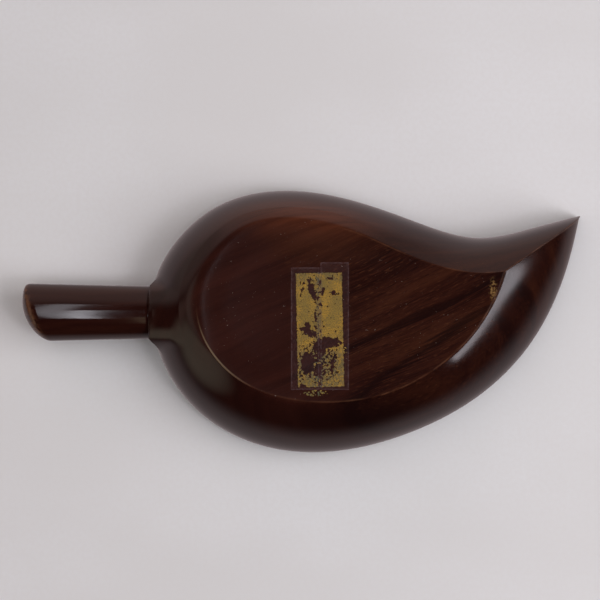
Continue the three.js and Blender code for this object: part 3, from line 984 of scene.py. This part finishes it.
CAMERA_DISTANCE = 600 * MM     # from the rim's plane
VIEW_WIDTH = 264 * MM          # width of the rim's plane that the camera sees
VIEW_MIDDLE = place(0, -8.8, 0)
SENSOR_WIDTH = 36.0
SHEET_SIZE = 2.6               # metres, as the next two
SHEET_FADE = (0.4, 1.1)        # distances from the middle where the sheet starts and ends fading
SHEET_GAP = 0.0001             # between a sheet and the dish
CLOTH_HOLLOW = (0.668, 0.658, 0.664)
CLOTH_FOLD = (0.704, 0.698, 0.712)
CLOTH_WEAVE = (0.66, 0.64, 0.64)

BACKDROP = (0.74, 0.70, 0.71)
WORLD_BELOW = (0.010, 0.009, 0.010)
WORLD_ABOVE = (0.33, 0.275, 0.28)
HORIZON = (0.08, 0.50)         # how far up a direction points where the room turns pale
# Soft glows low round the room: direction, where each starts and is full, and its colour.
GLOWS = [
    ((-1.0, 0.60, -0.19), 0.90, 0.985, (0.50, 0.45, 0.35)),
    ((-0.25, -1.0, -0.10), 0.45, 0.97, (0.58, 0.42, 0.39)),
    ((-1.0, -0.5, 0.0), 0.88, 0.985, (0.30, 0.26, 0.24)),
    ((-1.0, 0.0, -0.72), 0.92, 0.97, (0.38, 0.30, 0.26)),
]

WINDOW_COLOR = (0.97, 0.93, 1.0)
TUBE_COLOR = (0.93, 0.93, 1.0)
# Soft boxes, in metres: name, position, direction of the first side, sides, power and colour.
LIGHTS = [
    ("window_right", (1.09, 0.40, -0.30), (-0.36, 0.93, 0), (1.05, 0.08), 1.40, WINDOW_COLOR),
    ("tube_core", (-0.268, 0.20, -1.5), (1, 0, 0), (0.030, 0.95), 0.86, TUBE_COLOR),
    ("tube_end", (-0.309, -0.15, -1.5), (1, 0, 0), (0.052, 1.7), 0.90, TUBE_COLOR),
    ("lamp_warm", (-0.205, 1.0, -1.5), (1, 0, 0), (0.03, 1.0), 0.16, (1.0, 0.75, 0.5)),
    ("lamp_right", (0.75, 0.30, -1.2), (0, 1, 0), (0.25, 0.25), 2.2, WINDOW_COLOR),
]
# These only light the dish, and are left out of its reflections.
FILL_LIGHTS = [
    ("room_fill", (1.15, 0.05, -1.05), (0, 1, 0), (1.5, 0.9), 17.0, (1.0, 0.99, 1.0)),
    ("warm_fill", (-0.3, -0.2, -1.5), (0, 1, 0), (2.0, 2.0), 10.4, (0.99, 0.98, 0.97)),
    ("soft_above", (-0.4, -0.7, 1.4), (1, 0, 0), (1.4, 1.4), 24, (1.0, 0.98, 0.97)),
]


def build_camera():
    data = bpy.data.cameras.new("camera")
    data.sensor_width = SENSOR_WIDTH
    data.lens = SENSOR_WIDTH * CAMERA_DISTANCE / VIEW_WIDTH
    camera = bpy.data.objects.new("camera", data)
    camera.location = (VIEW_MIDDLE.x, VIEW_MIDDLE.y, HEIGHT * MM - CAMERA_DISTANCE)
    camera.rotation_euler = (math.pi, 0, 0)
    bpy.context.scene.collection.objects.link(camera)
    bpy.context.scene.camera = camera


def cloth_material():
    """Pale cloth on the side that faces the dish, fading into the backdrop far from it."""
    material = bpy.data.materials.new("pale_cloth")
    material.use_nodes = True
    material.node_tree.nodes.clear()
    nodes = Nodes(material.node_tree)
    place_on = nodes.new("ShaderNodeTexCoord").outputs["Object"]
    folds = nodes.noise(place_on, (9, 14, 9), detail=3, seed=3)
    weave = nodes.noise(place_on, (500, 500, 500), detail=2, seed=6)
    color = nodes.mix(nodes.spread(folds, 0.3, 0.7), CLOTH_HOLLOW, CLOTH_FOLD)
    color = nodes.mix(nodes.spread(weave, 0.3, 0.7, 0.0, 0.3), color, CLOTH_WEAVE)
    cloth = nodes.new("ShaderNodeBsdfDiffuse")
    nodes.put(cloth.inputs["Color"], color)
    mixed = nodes.new("ShaderNodeMixShader")
    from_middle = nodes.vector("LENGTH", nodes.vector("MULTIPLY", place_on, (1, 1, 0)))
    hidden = nodes.spread(from_middle, *SHEET_FADE)
    hidden = nodes.math("MAXIMUM", hidden, nodes.new("ShaderNodeNewGeometry").outputs["Backfacing"])
    nodes.put(mixed.inputs[0], hidden)
    nodes.put(mixed.inputs[1], cloth.outputs[0])
    nodes.put(mixed.inputs[2], nodes.new("ShaderNodeBsdfTransparent").outputs[0])
    nodes.put(nodes.new("ShaderNodeOutputMaterial").inputs["Surface"], mixed.outputs[0])
    return material


def build_sheet(name, z, faces_up, cloth):
    """A one-sided pale sheet that only the camera sees, so it never blocks or bounces light."""
    half = SHEET_SIZE / 2
    corners = [(-half, -half, z), (half, -half, z), (half, half, z), (-half, half, z)]
    mesh = bpy.data.meshes.new(name)
    mesh.from_pydata(corners, [], [(0, 1, 2, 3) if faces_up else (3, 2, 1, 0)])
    mesh.materials.append(cloth)
    sheet = bpy.data.objects.new(name, mesh)
    bpy.context.scene.collection.objects.link(sheet)
    sheet.visible_diffuse = False
    sheet.visible_glossy = False
    sheet.visible_transmission = False
    sheet.visible_volume_scatter = False
    sheet.visible_shadow = False


def add_light(name, position, across, size, power, color, in_gloss=True):
    """A soft box, in metres, facing the dish, with its first side along the given direction."""
    toward = Vector(position).normalized()
    first = Vector(across)
    first = (first - toward * first.dot(toward)).normalized()
    data = bpy.data.lights.new(name, "AREA")
    data.shape = "RECTANGLE"
    data.size, data.size_y = size
    data.energy = power
    data.color = color
    light = bpy.data.objects.new(name, data)
    second = toward.cross(first)
    axes = Matrix((first, second, toward)).transposed()
    light.matrix_world = Matrix.Translation(position) @ axes.to_4x4()
    light.visible_glossy = in_gloss
    bpy.context.scene.collection.objects.link(light)


def build_world():
    """A pale room above, a dark one below with soft glows, and a plain backdrop for the camera."""
    world = bpy.data.worlds.new("world")
    world.use_nodes = True
    bpy.context.scene.world = world
    nodes = Nodes(world.node_tree)
    background = world.node_tree.nodes["Background"]
    direction = nodes.new("ShaderNodeTexCoord").outputs["Generated"]
    height = nodes.split(direction)[2]
    color = nodes.mix(nodes.spread(height, *HORIZON), WORLD_BELOW, WORLD_ABOVE)
    for middle, low, high, glow_color in GLOWS:
        near = nodes.vector("DOT_PRODUCT", direction, Vector(middle).normalized())
        color = nodes.mix(nodes.spread(near, low, high), color, glow_color)
    seen = nodes.new("ShaderNodeLightPath").outputs["Is Camera Ray"]
    nodes.put(background.inputs["Color"], nodes.mix(seen, color, BACKDROP))


build_camera()
cloth = cloth_material()
build_sheet("sheet_on_rim", HEIGHT * MM + SHEET_GAP, faces_up=False, cloth=cloth)
build_sheet("sheet_under_foot", -SHEET_GAP, faces_up=True, cloth=cloth)
build_world()
for light in LIGHTS:
    add_light(*light)
for light in FILL_LIGHTS:
    add_light(*light, in_gloss=False)

bpy.context.scene.view_settings.view_transform = "Standard"
